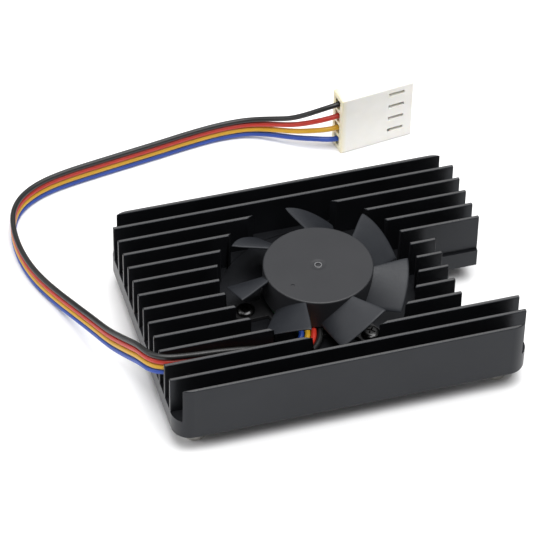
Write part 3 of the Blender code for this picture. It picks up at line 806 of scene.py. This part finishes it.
# ---------------------------------------------------------------- fan

def screw_places():
    turns = [math.radians(a) for a in EAR_ANGLES]
    return [(FAN[0] + EAR_R * math.cos(a), FAN[1] + EAR_R * math.sin(a)) for a in turns]


def make_plate(mat):
    low, high = PLATE_Z
    bm = bmesh.new()
    add_rounded_prism(bm, circle(PLATE_R, 96, *FAN), low, high, 0, PLATE_EDGE_R, 2)
    plate = new_piece("fan_plate", bm, mat)
    others = []
    for number, angle in enumerate(EAR_ANGLES):
        turns = [math.radians(-90 + 180 * i / 20) for i in range(21)]
        bar = [(EAR_ROOT, -EAR_HALF)]
        bar += [(EAR_R + EAR_HALF * math.cos(a), EAR_HALF * math.sin(a)) for a in turns]
        bar.append((EAR_ROOT, EAR_HALF))
        ear = bmesh.new()
        add_rounded_prism(ear, bar, low, high, 0, PLATE_EDGE_R, 2)
        others.append((new_piece(f"add_ear_{number}", place(ear, *FAN, 0, angle), None), "UNION"))
    tube = bmesh.new()
    add_rounded_prism(tube, circle(TUBE_R, 48, *FAN), low, TUBE_TOP, 0, 0.15, 3)
    others.append((new_piece("add_tube", tube, None), "UNION"))
    holes = bmesh.new()
    add_rounded_prism(holes, circle(TUBE_BORE_R, 48, *FAN), low + 0.3, TUBE_TOP + 1)
    for x, y in screw_places():
        add_rounded_prism(holes, circle(EAR_HOLE_R, 24, x, y), low - 1, high + 1)
    others.append((new_piece("cut_plate", holes, None), "DIFFERENCE"))
    boolean(plate, others)
    smooth_again(plate, 35)
    level_normals(plate)
    settle(plate, "base", "fan_plastic", "fan_base")


def screw_profile():
    """Half of a fan screw's section, from its tip to the middle of its head."""
    z = SCREW_TIP + 0.2
    shank = [(0, SCREW_TIP), (0.55, SCREW_TIP), (0.7, z)]
    while z < SCREW_SEAT - 0.45:
        shank += [(SCREW_CORE_R, z + 0.05), (SCREW_R, z + 0.17), (SCREW_CORE_R, z + 0.3)]
        z += SCREW_PITCH
    head = [(SCREW_CORE_R, 0.0), (SCREW_HEAD_R, 0.0), (SCREW_HEAD_R, 0.42), (0.95, 0.78), (0.0, 0.8)]
    return shank + rounded_profile([(r, SCREW_SEAT + h) for r, h in head], (0.08, 0.2, 0.3), 4)


def slot_cutter(half_x, half_y):
    """One arm of the cross recess, smaller at its floor."""
    corners = ((-1, -1), (1, -1), (1, 1), (-1, 1))
    bm = bmesh.new()
    floor = [bm.verts.new((sx * half_x * 0.55, sy * half_y * 0.8, SCREW_SEAT + 0.3)) for sx, sy in corners]
    rim = [bm.verts.new((sx * half_x, sy * half_y, SCREW_SEAT + 0.95)) for sx, sy in corners]
    bm.faces.new(floor[::-1])
    bm.faces.new(rim)
    for i in range(4):
        j = (i + 1) % 4
        bm.faces.new((floor[i], floor[j], rim[j], rim[i]))
    return bm


def make_screws(mat):
    for number, (x, y) in enumerate(screw_places(), 1):
        body = place(turned(screw_profile(), 48), x, y)
        screw = new_piece(f"screw_body_{number}", body, mat)
        slots = []
        for arm in (SCREW_SLOT, SCREW_SLOT[::-1]):
            cutter = place(slot_cutter(*arm), x, y, 0, 25 * number)
            slots.append((new_piece("cut_slot", cutter, None), "DIFFERENCE"))
        boolean(screw, slots)
        smooth_again(screw, 30)
        settle(screw, "base", "black_steel", f"fan_screw_{number}")


def blade_point(across, along, side):
    """A point of the first blade. across runs from root to tip, along from its upper to its lower edge."""
    root_r = HUB_R - 0.35
    radius = root_r + (BLADE_TIP_R - root_r) * across
    span, top, drop = [a + (b - a) * across for a, b in (BLADE_SPAN, BLADE_TOP, BLADE_DROP)]
    lean = BLADE_SWEEP * (1 - across) ** BLADE_BOW
    angle = math.radians(BLADE_PHASE - lean - span * along)
    half = BLADE_T / 2 * (1 - BLADE_THINNING * across)
    for distance in (along, 1 - along, 1 - across):
        if distance < BLADE_EDGE:
            half *= math.sqrt(max(1 - (1 - distance / BLADE_EDGE) ** 2, 0))
    height = top - drop * along**BLADE_CAMBER + side * half
    return (radius * math.cos(angle), radius * math.sin(angle), height)


def eased(count, start=True):
    """Steps from 0 to 1, closer together at the end and, if asked, at the start."""
    if start:
        return [(1 - math.cos(math.pi * i / count)) / 2 for i in range(count + 1)]
    return [math.sin(math.pi / 2 * i / count) for i in range(count + 1)]


def make_blades():
    bm = bmesh.new()
    rows = eased(14, start=False)
    columns = eased(26)
    last_i, last_j = len(rows) - 1, len(columns) - 1
    for number in range(BLADE_COUNT):
        turn = Matrix.Rotation(2 * math.pi * number / BLADE_COUNT, 4, "Z")
        grid = {}
        for i, across in enumerate(rows):
            for j, along in enumerate(columns):
                for side in (-1, 1):
                    shared = i == last_i or j in (0, last_j)
                    if shared and side == 1:
                        grid[1, i, j] = grid[-1, i, j]
                    else:
                        grid[side, i, j] = bm.verts.new(turn @ Vector(blade_point(across, along, side)))
        for i in range(last_i):
            for j in range(last_j):
                square = ((i, j), (i + 1, j), (i + 1, j + 1), (i, j + 1))
                bm.faces.new([grid[1, a, b] for a, b in square])
                bm.faces.new([grid[-1, a, b] for a, b in reversed(square)])
        root = [grid[1, 0, j] for j in range(last_j + 1)]
        root += [grid[-1, 0, j] for j in range(last_j - 1, 0, -1)]
        bm.faces.new(root)
    return place(bm, *FAN)


def make_hub(mat):
    """The hub cup, with the gate's recess in the middle of its top and a small mark beside it."""
    roof = HUB_TOP - HUB_ROOF
    gate = [(0.0, -0.2), (0.36, -0.2), (0.46, -0.02), (0.62, -0.02), (0.72, -0.09), (1.15, -0.07), (1.35, 0)]
    outer = rounded_profile(
        [(1.35, HUB_TOP), (HUB_R, HUB_TOP), (HUB_R, HUB_RIM), (HUB_BORE_R, HUB_RIM), (HUB_BORE_R, roof)],
        (0.28, 0.1, 0.1), 5)
    inner = [(HUB_BOSS_R, roof), (HUB_BOSS_R, roof - 0.8), (SHAFT_HOLE_R, roof - 0.8)]
    inner += [(SHAFT_HOLE_R, roof + 0.2), (0.0, roof + 0.2)]
    profile = [(r, HUB_TOP + h) for r, h in gate] + outer[1:] + inner
    hub = new_piece("impeller_hub", place(turned(profile, 128), *FAN), mat, 35)
    mark = bmesh.new()
    spot = circle(MARK_R, 24, FAN[0] + MARK_OFFSET[0], FAN[1] + MARK_OFFSET[1])
    add_rounded_prism(mark, spot, HUB_TOP - 0.09, HUB_TOP + 1)
    boolean(hub, [(new_piece("cut_mark", mark, None), "DIFFERENCE")])
    smooth_again(hub, 35)
    level_normals(hub)
    return hub


def make_gate_ring(mat):
    """The ring left where the gate was broken off, painted pale as a painted highlight for the glint it
    catches.
    """
    section = [(0.42, -0.04), (0.64, -0.04), (0.60, 0), (0.46, 0)]
    rim = turned([(r, HUB_TOP + h) for r, h in section], 48)
    return new_piece("hub_gate_ring", place(rim, *FAN), mat)


def make_impeller(hub_mat, blade_mat, glint_mat):
    settle(make_hub(hub_mat), "rotor", "fan_plastic", "impeller")
    settle(make_gate_ring(glint_mat), "rotor", "fan_plastic", "impeller")
    blades = new_piece("impeller_blades", make_blades(), blade_mat, 75)
    settle(blades, "rotor", "fan_plastic", "impeller")


def solder_dome(x):
    heights = [(0.0, 0.0), (0.52, 0.0), (0.46, 0.1), (0.3, 0.28), (0.14, 0.38), (0.0, 0.4)]
    return place(turned([(r, BOARD_TOP + h) for r, h in heights], 24), x, SOLDER_Y)


def add_strand(bm, start, shift):
    """One bared strand from a wire's end to its solder joint."""
    steps, sides = 6, 8
    rings = []
    for step in range(steps + 1):
        y = start.y + 0.1 + (STRAND_END_Y - start.y) * step / steps
        centre = Vector((start.x, y, start.z + 0.05)) + shift
        rings.append([bm.verts.new(centre + Vector((x, 0, z))) for x, z in circle(STRAND_R, sides)])
    for first, second in zip(rings, rings[1:]):
        for i in range(sides):
            j = (i + 1) % sides
            bm.faces.new((first[i], first[j], second[j], second[i]))
    bm.faces.new(rings[0])
    bm.faces.new(rings[-1][::-1])


def make_solder(m):
    """The bared ends of the wires and their joints on the fan's board."""
    joints = bmesh.new()
    strands = bmesh.new()
    for number in range(len(WIRE_COLOURS)):
        start = wire_points(number)[0]
        merge(joints, solder_dome(start.x))
        for x, z in circle(STRAND_LAY_R, STRAND_COUNT):
            add_strand(strands, start, Vector((x, 0, z)))
    settle(new_piece("solder_joints", joints, m["solder"]), "base", "tin")
    settle(new_piece("bared_strands", strands, m["tin"]), "base", "tin")


# ---------------------------------------------------------------- CAD nodes that stay

def dress_nodes(m):
    finishes = {
        "yoke_ring": "steel", "magnet_ring": "magnet", "shaft": "steel", "retaining_clip": "bronze",
        "sleeve_bearing": "bronze", "oil_seal": "felt", "thrust_pad": "polymer", "stator_core": "laminated",
        "insulator_top": "insulator", "insulator_bottom": "insulator", "fan_board": "board",
        "hall_sensor": "chip", "driver_chip": "chip", "capacitor": "ceramic", "resistor": "chip",
    }
    for number in range(1, 5):
        finishes[f"coil_{number}"] = "copper"
        finishes[f"contact_{number}"] = "tin"
    for node, finish in finishes.items():
        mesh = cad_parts[node].data
        if not mesh.materials:
            mesh.materials.append(None)
        for index in range(len(mesh.materials)):
            mesh.materials[index] = m[finish]


# ---------------------------------------------------------------- studio

def make_floor():
    bm = bmesh.new()
    corners = ((-1, -1), (1, -1), (1, 1), (-1, 1))
    half = FLOOR_HALF / MM
    bm.faces.new([bm.verts.new((x * half, y * half, FLOOR_Z / MM)) for x, y in corners])
    mat, tree, shader = shader_of("floor_paper")
    tree.links.new(
        blend_colours(tree, noise(tree, 60.0), (0.90, 0.90, 0.905), (0.915, 0.915, 0.92)),
        shader.inputs["Base Color"])
    shader.inputs["Roughness"].default_value = 0.8
    shader.inputs["Specular IOR Level"].default_value = 0.2
    new_piece("floor", bm, mat)


def make_lights():
    world = bpy.data.worlds.new("studio")
    bpy.context.scene.world = world
    world.use_nodes = True
    back = world.node_tree.nodes["Background"]
    back.inputs["Color"].default_value = (1.0, 1.0, 1.0, 1)
    back.inputs["Strength"].default_value = WORLD_STRENGTH
    for name, spot, size, power in LAMPS:
        data = bpy.data.lights.new(name, "AREA")
        data.size = size
        data.energy = power
        lamp = bpy.data.objects.new(name, data)
        lamp.location = spot
        lamp.rotation_euler = (-Vector(spot)).to_track_quat("-Z", "Y").to_euler()
        bpy.context.scene.collection.objects.link(lamp)


make_camera()
bpy.context.scene.view_settings.view_transform = "Standard"
MATERIALS = make_materials()
HOUSING_PIECE = make_housing(MATERIALS["nylon"])
make_wires(MATERIALS)
make_heatsink(MATERIALS["anodised"], MATERIALS["fin_tops"])
make_standoffs(MATERIALS["nickel"])
make_thermal_pad(MATERIALS["pad"])
make_plate(MATERIALS["plate"])
make_screws(MATERIALS["black_steel"])
make_impeller(MATERIALS["hub"], MATERIALS["blade"], MATERIALS["gate_ring"])
make_solder(MATERIALS)
dress_nodes(MATERIALS)
make_floor()
make_lights()
